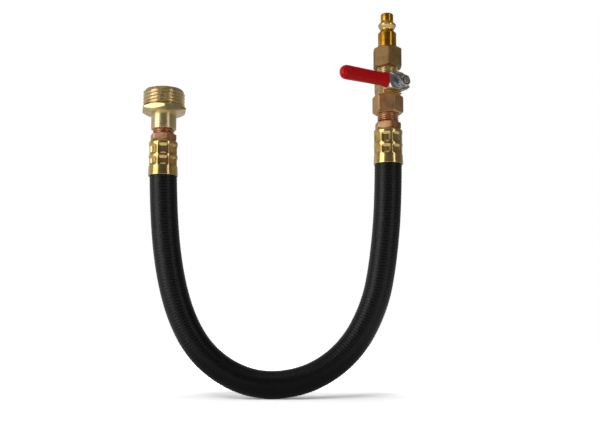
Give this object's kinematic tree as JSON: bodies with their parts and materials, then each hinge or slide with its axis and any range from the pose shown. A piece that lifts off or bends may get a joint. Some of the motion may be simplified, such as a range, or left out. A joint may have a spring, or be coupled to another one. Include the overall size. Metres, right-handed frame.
{
  "type": "hose adapter with valve",
  "caption": "Short rubber hose bent in a U between a garden-hose thread and a lever ball valve with an air plug, for blowing out water lines.",
  "frame": {"origin": "on the axis of the garden-hose thread, in the plane of the flange shoulder under the thread", "axes": "+Z along the garden-hose thread, out of its open end; +X towards the air end; the U lies in the XZ plane and -Y is the side the valve's stem faces"},
  "size_m": [0.1746, 0.0524, 0.2507],
  "materials": {
    "brass_bright": "bright turned",
    "brass_turned": "turned",
    "brass_matte": "matte turned",
    "brass_polished": "drawn and polished",
    "brass_cast": "sand blasted",
    "ball_chrome": "polished",
    "zinc_plate": "bright zinc plate",
    "grip_vinyl": "dipped gloss",
    "hose_rubber": "satin, wrapped texture",
    "hose_cord": "braided yarn",
    "liner_rubber": "smooth",
    "seal_rubber": "smooth",
    "seat_ptfe": "smooth white"
  },
  "bodies": {
    "hose_and_fittings": {"water_adapter": "brass_bright", "water_insert": "brass_matte", "water_ferrule": "brass_polished", "hose_cover": "hose_rubber", "hose_braid": "hose_cord", "hose_liner": "liner_rubber", "air_ferrule": "brass_polished", "air_insert": "brass_matte", "valve_end_cap": "brass_matte", "valve_body": "brass_cast", "lower_seat": "seat_ptfe", "upper_seat": "seat_ptfe", "thrust_washer": "seat_ptfe", "air_plug": "brass_turned"},
    "lever_and_ball": {"valve_ball": "ball_chrome", "valve_stem": "brass_bright", "stem_o_ring": "seal_rubber", "lever": "zinc_plate", "lever_grip": "grip_vinyl", "lock_washer": "zinc_plate", "lock_nut": "zinc_plate"}
  },
  "joints": [
    {"name": "lever_turn", "type": "hinge", "parent": "hose_and_fittings", "child": "lever_and_ball", "pos_m": [0.146, 0, 0.0134], "axis": [0.515, -0.8572, 0], "range_deg": [0, 90]}
  ]
}
